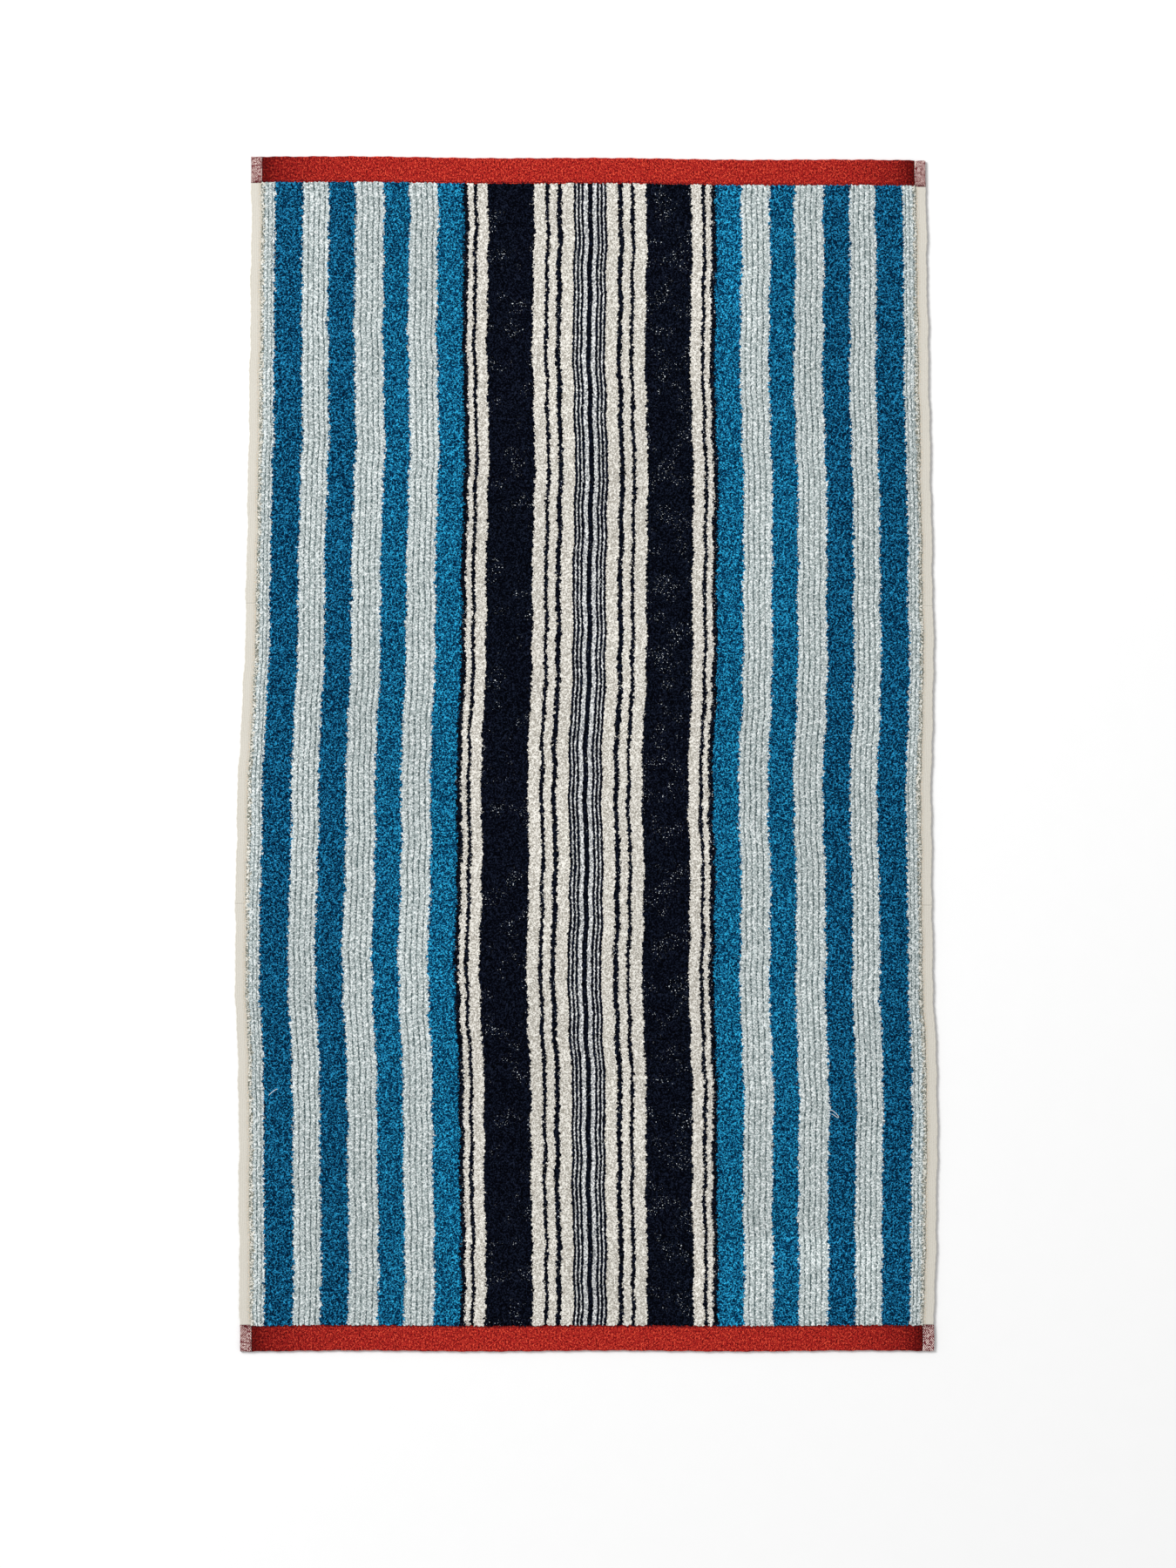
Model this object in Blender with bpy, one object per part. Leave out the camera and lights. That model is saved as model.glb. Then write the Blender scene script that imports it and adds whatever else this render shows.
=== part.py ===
"""Striped terry bath towel, laid flat, built as the pieces that make up its cloth.

The towel lies face up on z = 0, X across its width and Y along its length. Its origin is the middle
of its underside. The woven cloth is cut at its three crosswise folds into four quarters, so that it
folds in half and in half again. Each quarter has a ground cloth with a loop pile on both faces and a
bare selvedge down each side. Each end has a flat-woven hem, turned twice to the back and sewn down.
"""

import bmesh
import bpy
from math import cos, pi, radians, sin

# Driving dimensions, in metres
TOWEL_WIDTH = 0.700
TOWEL_LENGTH = 1.200
SELVEDGE_WIDTH = 0.011
SELVEDGE_THICKNESS = 0.0016
SIDE_PILE_WIDTH = 0.2085        # the blue and white stripes down each side
GROUND_THICKNESS = 0.0010
PILE_HEIGHT = 0.0020            # loops above, and again below, the ground cloth
HEM_DEPTH = 0.0265              # from the seamed inner edge to the towel's end
HEM_LAYER = 0.00065             # one layer of the flat-woven band
HEM_TURN_IN = 0.018             # the raw edge, turned in between the other two layers
SEAM_INSET = 0.0018             # from the hem's inner edge to the row of stitches
THREAD_DIAMETER = 0.0004
THREAD_END_INSET = 0.0010       # from the towel's side to the thread's end
SEAT_GAP = 0.0003               # between pieces that touch
FOLD_GAP = 0.0006               # between two quarters, open or folded onto each other
FOLD_MARGIN = 0.0015            # half the room left at the middle fold by an end that is folded in
FOLD_LIFT = 0.0006              # room for the folded ends, whose edges stand up a little
TURN_STEPS = 8                  # flat steps in each half turn of the hem
THREAD_SIDES = 8

# Heights of the layers above the surface that the towel lies on
THICKNESS = 2 * PILE_HEIGHT + GROUND_THICKNESS + 2 * SEAT_GAP
GROUND_BOTTOM = PILE_HEIGHT + SEAT_GAP
GROUND_TOP = GROUND_BOTTOM + GROUND_THICKNESS
HEM_PITCH = HEM_LAYER + SEAT_GAP
HEM_BACK_LEVEL = GROUND_TOP - HEM_LAYER / 2 - 2 * HEM_PITCH     # with its face level with the ground
HEM_BACK_LOWEST = THREAD_DIAMETER + SEAT_GAP + HEM_LAYER / 2    # with its thread on the surface
HEM_BACK_MIDDLE = max(HEM_BACK_LEVEL, HEM_BACK_LOWEST)
HEM_TURNED_MIDDLE = HEM_BACK_MIDDLE + HEM_PITCH
HEM_FACE_MIDDLE = HEM_BACK_MIDDLE + 2 * HEM_PITCH

# Where the folds are: an end quarter lies down on its neighbour, then both pairs meet
QUARTER_FOLD_Y = TOWEL_LENGTH / 4 + FOLD_MARGIN
QUARTER_FOLD_Z = THICKNESS + FOLD_GAP / 2
MIDDLE_FOLD_Z = 2 * QUARTER_FOLD_Z + FOLD_GAP / 2 + FOLD_LIFT

HALF_WIDTH = TOWEL_WIDTH / 2
GROUND_HALF_WIDTH = HALF_WIDTH - SELVEDGE_WIDTH - SEAT_GAP
CENTRE_PILE_HALF_WIDTH = GROUND_HALF_WIDTH - SIDE_PILE_WIDTH - SEAT_GAP
HEM_INNER_Y = TOWEL_LENGTH / 2 - HEM_DEPTH


def clear_scene():
    for leftover in list(bpy.data.objects):
        bpy.data.objects.remove(leftover, do_unlink=True)


def cotton(name, colour, roughness):
    """A dyed cotton, dull and with no metal in it."""
    material = bpy.data.materials.new(name)
    material.use_nodes = True
    shader = material.node_tree.nodes["Principled BSDF"]
    shader.inputs["Base Color"].default_value = (*colour, 1.0)
    shader.inputs["Roughness"].default_value = roughness
    shader.inputs["Metallic"].default_value = 0.0
    return material


def fold_axis(name, place, carrier=None):
    """An empty on a fold's axis: the pieces of the quarter that turns there are its children."""
    empty = bpy.data.objects.new(name, None)
    empty.empty_display_size = 0.03
    empty["place"] = place
    seat_on(empty, place, carrier)
    return empty


def seat_on(piece, place, carrier):
    """Puts a piece at a place given in the towel's own frame, as a child of its carrier."""
    start = carrier["place"] if carrier else (0.0, 0.0, 0.0)
    piece.parent = carrier
    piece.location = [there - here for there, here in zip(place, start)]
    bpy.context.collection.objects.link(piece)


def piece_from(mesh_maker, name, place, carrier, material):
    """One closed solid, with its faces turned out, seated on its carrier."""
    shape = bmesh.new()
    mesh_maker(shape)
    bmesh.ops.recalc_face_normals(shape, faces=shape.faces)
    mesh = bpy.data.meshes.new(name)
    shape.to_mesh(mesh)
    shape.free()
    mesh.materials.append(material)
    piece = bpy.data.objects.new(name, mesh)
    seat_on(piece, place, carrier)
    return piece


def block(name, low, high, carrier, material):
    """A flat layer of cloth or pile between two opposite corners."""
    size = [top - bottom for bottom, top in zip(low, high)]
    middle = [(top + bottom) / 2 for bottom, top in zip(low, high)]

    def make(shape):
        corners = bmesh.ops.create_cube(shape, size=1.0)["verts"]
        bmesh.ops.scale(shape, vec=size, verts=corners)

    return piece_from(make, name, middle, carrier, material)


def extruded(name, outline, start, end, along, carrier, material):
    """An outline of (across, up) points, drawn out along X or Y between two places."""
    middle = (start + end) / 2
    half = (end - start) / 2

    def make(shape):
        rings = []
        for offset in (-half, half):
            points = [(offset, a, z) if along == "X" else (a, offset, z) for a, z in outline]
            rings.append([shape.verts.new(point) for point in points])
        for i in range(len(outline)):
            j = (i + 1) % len(outline)
            shape.faces.new((rings[0][i], rings[0][j], rings[1][j], rings[1][i]))
        for ring in rings:
            shape.faces.new(ring)

    place = (middle, 0.0, 0.0) if along == "X" else (0.0, middle, 0.0)
    return piece_from(make, name, place, carrier, material)


def selvedge_outline(side):
    """A flat strip whose outer edge is rounded like a rolled edge."""
    radius = SELVEDGE_THICKNESS / 2
    middle = THICKNESS / 2
    inner = HALF_WIDTH - SELVEDGE_WIDTH
    outline = [(side * inner, middle - radius), (side * (HALF_WIDTH - radius), middle - radius)]
    for step in range(1, TURN_STEPS):
        angle = -pi / 2 + pi * step / TURN_STEPS
        across = HALF_WIDTH - radius + radius * cos(angle)
        outline.append((side * across, middle + radius * sin(angle)))
    outline += [(side * (HALF_WIDTH - radius), middle + radius), (side * inner, middle + radius)]
    return outline


def hem_path():
    """The hem's middle line: out along the face, round to the back, in again, and turned under."""
    outer_radius = HEM_PITCH
    inner_radius = HEM_PITCH / 2
    outer_turn = HEM_DEPTH - HEM_LAYER / 2 - outer_radius
    inner_turn = HEM_LAYER / 2 + inner_radius
    path = [(0.0, HEM_FACE_MIDDLE)]
    for step in range(TURN_STEPS + 1):
        angle = pi / 2 - pi * step / TURN_STEPS
        path.append((outer_turn + outer_radius * cos(angle), HEM_TURNED_MIDDLE + outer_radius * sin(angle)))
    for step in range(TURN_STEPS + 1):
        angle = -pi / 2 - pi * step / TURN_STEPS
        height = HEM_BACK_MIDDLE + inner_radius + inner_radius * sin(angle)
        path.append((inner_turn + inner_radius * cos(angle), height))
    path.append((HEM_TURN_IN, HEM_TURNED_MIDDLE))
    return path


def hem_outline(end):
    """The hem's middle line given the band's thickness, at the top (1) or the bottom (-1) end."""
    path = hem_path()
    sides = ([], [])
    for i, (out, up) in enumerate(path):
        before = path[max(i - 1, 0)]
        after = path[min(i + 1, len(path) - 1)]
        run = (after[0] - before[0], after[1] - before[1])
        length = (run[0] ** 2 + run[1] ** 2) ** 0.5
        normal = (-run[1] / length, run[0] / length)
        for side, points in zip((1, -1), sides):
            reach = side * HEM_LAYER / 2
            points.append((end * (HEM_INNER_Y + out + reach * normal[0]), up + reach * normal[1]))
    return sides[0] + sides[1][::-1]


def weave_quarter(quarter, start, end, carrier):
    """The ground cloth of one quarter, its pile in three stripe groups on each face, its selvedges."""
    ground_low = (-GROUND_HALF_WIDTH, start, GROUND_BOTTOM)
    block(f"{quarter}_ground_cloth", ground_low, (GROUND_HALF_WIDTH, end, GROUND_TOP), carrier, ground_cotton)
    groups = (
        ("left", -GROUND_HALF_WIDTH, -CENTRE_PILE_HALF_WIDTH - SEAT_GAP, blue_white_pile),
        ("centre", -CENTRE_PILE_HALF_WIDTH, CENTRE_PILE_HALF_WIDTH, navy_ecru_pile),
        ("right", CENTRE_PILE_HALF_WIDTH + SEAT_GAP, GROUND_HALF_WIDTH, blue_white_pile),
    )
    for face, bottom in (("face", GROUND_TOP + SEAT_GAP), ("back", 0.0)):
        for group, left, right, pile in groups:
            high = (right, end, bottom + PILE_HEIGHT)
            block(f"{quarter}_{face}_pile_{group}", (left, start, bottom), high, carrier, pile)
    for name, side in (("left", -1), ("right", 1)):
        outline = selvedge_outline(side)
        extruded(f"{quarter}_selvedge_{name}", outline, start, end, "Y", carrier, selvedge_cotton)


def sew_hem(end_name, end, carrier):
    """A double-turned hem: the red band, a checked corner over each selvedge, and the two threads."""
    band_half = HALF_WIDTH - SELVEDGE_WIDTH - SEAT_GAP
    outline = hem_outline(end)
    extruded(f"{end_name}_hem_band", outline, -band_half, band_half, "X", carrier, hem_red)
    for name, side in (("left", -1), ("right", 1)):
        inner, outer = sorted((side * (HALF_WIDTH - SELVEDGE_WIDTH), side * HALF_WIDTH))
        extruded(f"{end_name}_hem_corner_{name}", outline, inner, outer, "X", carrier, hem_check)

    face_height = HEM_FACE_MIDDLE + HEM_LAYER / 2 + SEAT_GAP + THREAD_DIAMETER / 2
    back_height = HEM_BACK_MIDDLE - HEM_LAYER / 2 - SEAT_GAP - THREAD_DIAMETER / 2
    for name, height in (("needle", face_height), ("bobbin", back_height)):
        stitch_line = (0.0, end * (HEM_INNER_Y + SEAM_INSET), height)

        def make(shape):
            radius = THREAD_DIAMETER / 2
            length = 2 * (HALF_WIDTH - THREAD_END_INSET)
            bmesh.ops.create_cone(
                shape, cap_ends=True, segments=THREAD_SIDES, radius1=radius, radius2=radius, depth=length
            )

        thread = piece_from(make, f"{end_name}_hem_{name}_thread", stitch_line, carrier, seam_cotton)
        thread.rotation_euler = (0.0, radians(90), 0.0)


clear_scene()

ground_cotton = cotton("ground_cotton", (0.62, 0.60, 0.55), 0.95)
blue_white_pile = cotton("blue_white_pile", (0.012, 0.150, 0.330), 0.95)
navy_ecru_pile = cotton("navy_ecru_pile", (0.030, 0.030, 0.060), 0.95)
selvedge_cotton = cotton("selvedge_cotton", (0.700, 0.660, 0.570), 0.90)
hem_red = cotton("hem_red", (0.450, 0.020, 0.015), 0.85)
hem_check = cotton("hem_check", (0.480, 0.300, 0.280), 0.85)
seam_cotton = cotton("seam_cotton", (0.110, 0.006, 0.010), 0.70)

# The upper middle quarter carries the others: the rest of the cloth folds over onto it.
upper = fold_axis("upper_quarter_rest", (0.0, 0.0, 0.0))
top = fold_axis("top_fold_axis", (0.0, QUARTER_FOLD_Y, QUARTER_FOLD_Z), upper)
lower = fold_axis("middle_fold_axis", (0.0, 0.0, MIDDLE_FOLD_Z), upper)
bottom = fold_axis("bottom_fold_axis", (0.0, -QUARTER_FOLD_Y, QUARTER_FOLD_Z), lower)

half_gap = FOLD_GAP / 2
weave_quarter("top_quarter", QUARTER_FOLD_Y + half_gap, HEM_INNER_Y - SEAT_GAP, top)
weave_quarter("upper_quarter", half_gap, QUARTER_FOLD_Y - half_gap, upper)
weave_quarter("lower_quarter", -QUARTER_FOLD_Y + half_gap, -half_gap, lower)
weave_quarter("bottom_quarter", -HEM_INNER_Y + SEAT_GAP, -QUARTER_FOLD_Y - half_gap, bottom)
sew_hem("top", 1, top)
sew_hem("bottom", -1, bottom)
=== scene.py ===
"""Striped terry bath towel, laid flat and face up on a white table.

The cloth is woven in one piece and folds crosswise in three places, so each of its layers is made in three
sections that meet halfway between the folds.
Lengths are in metres, apart from those whose names end in _mm.
"""

import math

import bpy
import numpy as np
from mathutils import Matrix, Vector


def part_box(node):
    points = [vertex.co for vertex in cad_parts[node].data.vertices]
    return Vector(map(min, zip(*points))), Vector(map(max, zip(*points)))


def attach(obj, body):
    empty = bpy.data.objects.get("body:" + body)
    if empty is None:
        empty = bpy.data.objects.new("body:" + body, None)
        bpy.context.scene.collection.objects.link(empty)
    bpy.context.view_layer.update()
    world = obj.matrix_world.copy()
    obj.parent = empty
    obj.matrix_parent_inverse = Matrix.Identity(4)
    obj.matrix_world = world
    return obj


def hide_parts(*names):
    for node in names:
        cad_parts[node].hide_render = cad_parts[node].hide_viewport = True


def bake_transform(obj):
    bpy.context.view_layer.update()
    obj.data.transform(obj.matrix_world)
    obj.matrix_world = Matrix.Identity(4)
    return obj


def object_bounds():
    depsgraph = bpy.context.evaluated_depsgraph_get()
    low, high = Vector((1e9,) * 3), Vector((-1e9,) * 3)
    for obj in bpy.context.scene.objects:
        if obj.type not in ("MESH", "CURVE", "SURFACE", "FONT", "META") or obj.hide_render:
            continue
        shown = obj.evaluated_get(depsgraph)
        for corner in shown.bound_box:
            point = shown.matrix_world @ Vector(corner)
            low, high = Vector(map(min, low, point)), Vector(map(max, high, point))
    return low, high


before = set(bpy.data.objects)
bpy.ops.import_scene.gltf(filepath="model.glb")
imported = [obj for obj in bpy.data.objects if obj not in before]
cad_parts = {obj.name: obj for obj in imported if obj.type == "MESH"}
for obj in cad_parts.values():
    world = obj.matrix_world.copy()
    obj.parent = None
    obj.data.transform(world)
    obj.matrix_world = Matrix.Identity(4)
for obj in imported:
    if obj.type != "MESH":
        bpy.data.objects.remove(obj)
cad_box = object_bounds()

# ---------------------------------------------------------------------------------------------------
# Studio. A plain white table, lit by a large soft box high on the left and by the white room round it.
# The camera hangs straight above the towel on a long lens.
# ---------------------------------------------------------------------------------------------------
VIEW_HEIGHT = 1.575             # what the camera sees from top to bottom at the cloth
VIEW_MIDDLE = (0.0026, -0.0300)
LENS_MM = 100.0
SENSOR_MM = 36.0
TABLE_SIDE = 40.0
TABLE_DROP = 0.0004             # below the towel, so that the two surfaces aren't one
TABLE_WHITES = ((0.925, 0.925, 0.925), (0.94, 0.94, 0.94))
ROOM_LIGHT = 0.56
COTTON_SHINE = 0.03             # how much of a glance the fibres give back, which is next to none


class Shade:
    """A socket in a material's nodes. Arithmetic on it adds Math nodes, so shader maths reads as maths."""

    def __init__(self, tree, socket=None):
        self.tree = tree
        self.socket = socket

    def node(self, kind, settings=None, sockets=None, output=0):
        """Adds a node: its settings first, then the values or links of its sockets. Returns one output."""
        made = self.tree.nodes.new(kind)
        for name, value in (settings or {}).items():
            if name == "stops":
                ramp = made.color_ramp.elements
                while len(ramp) < len(value):
                    ramp.new(1.0)
                for element, (position, colour) in zip(ramp, value):
                    element.position = position
                    element.color = colour
            elif name == "interpolation":
                made.color_ramp.interpolation = value
            else:
                setattr(made, name, value)
        for name, value in (sockets or {}).items():
            self.feed(made, name, value)
        found = made.outputs[output] if isinstance(output, int) else self.pick(made.outputs, output)
        return Shade(self.tree, found)

    def pick(self, sockets, name):
        """The socket of a name that is in use: a Mix node has one of each name for each type of value."""
        return next(socket for socket in sockets if socket.name == name and socket.enabled)

    def feed(self, node, name, value):
        target = node.inputs[name] if isinstance(name, int) else self.pick(node.inputs, name)
        if isinstance(value, Shade):
            self.tree.links.new(value.socket, target)
        elif isinstance(value, tuple) and len(value) == 3 and target.type == "RGBA":
            target.default_value = (*value, 1.0)
        else:
            target.default_value = value

    def math(self, operation, *values):
        return self.node("ShaderNodeMath", {"operation": operation}, dict(enumerate(values)))

    def __add__(self, other):
        return self.math("ADD", self, other)

    __radd__ = __add__

    def __sub__(self, other):
        return self.math("SUBTRACT", self, other)

    def __rsub__(self, other):
        return self.math("SUBTRACT", other, self)

    def __mul__(self, other):
        return self.math("MULTIPLY", self, other)

    __rmul__ = __mul__

    def __truediv__(self, other):
        return self.math("DIVIDE", self, other)

    def __abs__(self):
        return self.math("ABSOLUTE", self)

    def between(self, low, high):
        """0 below low, 1 above high, and smooth between them."""
        settings = {"interpolation_type": "SMOOTHSTEP"}
        return self.node("ShaderNodeMapRange", settings, {"Value": self, "From Min": low, "From Max": high})

    def mix(self, first, second):
        """Colour first where this socket is 0 and colour second where it is 1."""
        sockets = {"Factor": self, "A": first, "B": second}
        return self.node("ShaderNodeMix", {"data_type": "RGBA"}, sockets, "Result")

    def part(self, axis):
        return self.node("ShaderNodeSeparateXYZ", {}, {"Vector": self}, axis)

    def scaled(self, size):
        """This colour made lighter or darker."""
        sockets = {"Vector": self, "Scale": size}
        return self.node("ShaderNodeVectorMath", {"operation": "SCALE"}, sockets, "Vector")

    def bump(self, strength, depth):
        """The normals of a surface that this socket raises by up to a depth."""
        sockets = {"Strength": strength, "Distance": depth, "Height": self}
        return self.node("ShaderNodeBump", {}, sockets)

    def noise(self, place, scale, detail=1.0, roughness=0.5):
        sockets = {"Vector": place, "Scale": scale, "Detail": detail, "Roughness": roughness}
        return self.node("ShaderNodeTexNoise", {"noise_dimensions": "3D"}, sockets, "Fac")

    def attribute(self, name, output="Vector"):
        return self.node("ShaderNodeAttribute", {"attribute_name": name}, {}, output)


def new_material(name, roughness, sheen):
    """A cotton surface: its shader has a soft sheen, and the caller feeds its colour and its bump."""
    material = bpy.data.materials.new(name)
    material.use_nodes = True
    shader = material.node_tree.nodes["Principled BSDF"]
    shader.inputs["Roughness"].default_value = roughness
    shader.inputs["Specular IOR Level"].default_value = COTTON_SHINE
    shader.inputs["Sheen Weight"].default_value = sheen
    shader.inputs["Sheen Roughness"].default_value = 0.45
    return material, shader, Shade(material.node_tree)


def flat_box(name, size, middle):
    """A flat rectangle, face up."""
    mesh = bpy.data.meshes.new(name)
    corners = [(middle[0] + sx * size / 2, middle[1] + sy * size / 2, middle[2])
               for sx, sy in ((-1, -1), (1, -1), (1, 1), (-1, 1))]
    mesh.from_pydata(corners, [], [(0, 1, 2, 3)])
    made = bpy.data.objects.new(name, mesh)
    bpy.context.scene.collection.objects.link(made)
    return made


table = flat_box("table", TABLE_SIDE, (0, 0, cad_box[0].z - TABLE_DROP))
white, white_shader, paint = new_material("white_table", 0.85, 0.0)
table_grain = paint.noise(paint.node("ShaderNodeTexCoord", {}, {}, "Object"), 40.0, 3.0)
paint.feed(white_shader, "Base Color", table_grain.mix(*TABLE_WHITES))
table.data.materials.append(white)

room = bpy.data.worlds.new("white_room")
room.use_nodes = True
room.node_tree.nodes["Background"].inputs["Color"].default_value = (1.0, 1.0, 1.0, 1.0)
room.node_tree.nodes["Background"].inputs["Strength"].default_value = ROOM_LIGHT
bpy.context.scene.world = room


def soft_box(name, place, side, watts):
    """A square lamp at a place, turned to face the middle of the towel."""
    lamp = bpy.data.lights.new(name, "AREA")
    lamp.shape = "SQUARE"
    lamp.size = side
    lamp.energy = watts
    made = bpy.data.objects.new(name, lamp)
    made.location = place
    away = math.hypot(place[0], place[1])
    made.rotation_euler = (math.atan2(away, place[2]), 0, math.atan2(place[0], -place[1]))
    bpy.context.scene.collection.objects.link(made)


soft_box("key_lamp", place=(-3.5, 3.1, 4.8), side=2.6, watts=372)

lens = bpy.data.cameras.new("camera")
lens.lens = LENS_MM
lens.sensor_width = SENSOR_MM
lens.clip_end = 50.0
camera = bpy.data.objects.new("camera", lens)
camera.location = (*VIEW_MIDDLE, cad_box[1].z + VIEW_HEIGHT * LENS_MM / SENSOR_MM)
bpy.context.scene.collection.objects.link(camera)
bpy.context.scene.camera = camera
bpy.context.scene.view_settings.view_transform = "Standard"

# ---------------------------------------------------------------------------------------------------
# Ground cloth. The plain weave of undyed cotton that holds both piles. It lies between them, seen only
# where loops part. It runs from hem to hem, and here it sets how the whole cloth lies on the table.
# ---------------------------------------------------------------------------------------------------
HALF_WIDTH = cad_box[1].x
HALF_LENGTH = cad_box[1].y
GROUND_LOW, GROUND_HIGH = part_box("upper_quarter_ground_cloth")
GROUND_THREAD_MM = 1.1
GROUND_UNDYED = (0.60, 0.57, 0.50)
GROUND_SHADOW = (0.30, 0.28, 0.24)
GROUND_CRIMP = 0.00004          # how far the weft rises and falls over the warp
ROW_STEP = 0.00108              # between rows of points along the cloth
GROUND_COLUMN_STEP = 0.012
SIDE_OF_END = {"top": 1, "bottom": -1}

# The folds lie where two quarters meet, and the sections meet halfway between the folds.
TOP_GROUND_LOW, TOP_GROUND_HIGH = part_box("top_quarter_ground_cloth")
QUARTER_FOLD_Y = (GROUND_HIGH.y + TOP_GROUND_LOW.y) / 2
SECTION_END_Y = QUARTER_FOLD_Y / 2
PILE_END_Y = TOP_GROUND_HIGH.y
MIDDLE_BEND = 0.022             # how much cloth goes round the middle fold, and round the others
QUARTER_BEND = 0.0097
# Each section's two ends, the two quarters that it joins, and its fold's place and bend.
SECTIONS = {
    "bottom": (-PILE_END_Y, -SECTION_END_Y,
               ("lower_quarter", "bottom_quarter"), -QUARTER_FOLD_Y, QUARTER_BEND),
    "middle": (-SECTION_END_Y, SECTION_END_Y,
               ("upper_quarter", "lower_quarter"), 0.0, MIDDLE_BEND),
    "top": (SECTION_END_Y, PILE_END_Y,
            ("upper_quarter", "top_quarter"), QUARTER_FOLD_Y, QUARTER_BEND),
}
# The quarters whose solids each section stands for.
QUARTERS_OF = {
    "bottom": ["bottom_quarter"],
    "middle": ["lower_quarter", "upper_quarter"],
    "top": ["top_quarter"],
}


def lie(x, y):
    """Where a point of the true rectangle comes to lie: the cloth narrows to its top, and its sides bow.

    kink is where the cloth was pulled askew, a little below its middle. ripple is felt only at its sides.
    """
    t = y / HALF_LENGTH
    out = np.abs(x) / HALF_WIDTH
    narrowing = 0.9835 - 0.0203 * t - 0.0126 * t ** 2 + 0.0137 * t ** 3 + (0.0108 - 0.0072 * t) * out
    kink = np.exp(-((y + 0.125) / 0.17) ** 4)
    drawn = 0.0042 + 0.0009 * t - 0.0044 * kink - (0.0004 + 0.0016 * t ** 2 + 0.0008 * kink) * out
    ripple = 0.0004 * np.sin(y / 0.0163 + 0.6) + 0.0003 * np.sin(y / 0.0071 + 2.0 + np.sign(x))
    settled = x * narrowing + drawn + ripple * out ** 6
    tilt = (t + 1) / 2 * (-0.0010 - 0.0022 * x / HALF_WIDTH)
    wave = 0.0005 * np.sin(x / 0.041 + 1.0) * np.abs(t) ** 4
    return settled, y + tilt + wave


def stations(stops, step):
    """Places about a step apart from the first stop to the last, and the numbers of those on the stops."""
    places, at = [np.array([stops[0]])], [0]
    for low, high in zip(stops, stops[1:]):
        count = max(1, round((high - low) / step))
        places.append(np.linspace(low, high, count + 1)[1:])
        at.append(at[-1] + count)
    return np.concatenate(places), at


def grain(shape, step, length, seed):
    """Smooth random bumps about a length apart, with an average of 0 and a usual size of 1."""
    spread = 0.35
    draw = np.random.default_rng(seed).standard_normal(shape)
    fy = np.fft.fftfreq(shape[0], step)[:, None]
    fx = np.fft.rfftfreq(shape[1], step)[None, :]
    ring = np.exp(-((np.hypot(fx, fy) * length - 1) / spread) ** 2)
    field = np.fft.irfft2(np.fft.rfft2(draw) * ring, shape)
    return field / field.std()


def link_mesh(name, points, faces, material, corner_uv, attributes):
    """An object from arrays: faces is a list of index arrays, each holding like-sided faces or one face."""
    loops = np.concatenate([block.ravel() for block in faces]).astype(np.int32)
    sizes = np.concatenate([np.full(block.shape[0], block.shape[1]) for block in faces])
    starts = np.concatenate([[0], np.cumsum(sizes)[:-1]]).astype(np.int32)
    mesh = bpy.data.meshes.new(name)
    mesh.vertices.add(len(points))
    mesh.vertices.foreach_set("co", points.astype(np.float32).ravel())
    mesh.loops.add(len(loops))
    mesh.loops.foreach_set("vertex_index", loops)
    mesh.polygons.add(len(sizes))
    mesh.polygons.foreach_set("loop_start", starts)
    mesh.update(calc_edges=True)
    mesh.polygons.foreach_set("use_smooth", np.ones(len(sizes), bool))
    layer = mesh.uv_layers.new(name="OFBake")
    layer.uv.foreach_set("vector", np.concatenate(corner_uv).astype(np.float32).ravel())
    for title, values in attributes.items():
        kind = "FLOAT_VECTOR" if values.ndim == 2 else "FLOAT"
        held = mesh.attributes.new(title, kind, "POINT")
        held.data.foreach_set("vector" if values.ndim == 2 else "value", values.astype(np.float32).ravel())
    mesh.materials.append(material)
    made = bpy.data.objects.new(name, mesh)
    bpy.context.scene.collection.objects.link(made)
    return made


def edge_of(grid):
    """What a grid holds along its edge, anticlockwise from its first corner."""
    return np.concatenate([grid[0, :-1], grid[:-1, -1], grid[-1, :0:-1], grid[:0:-1, 0]])


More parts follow.
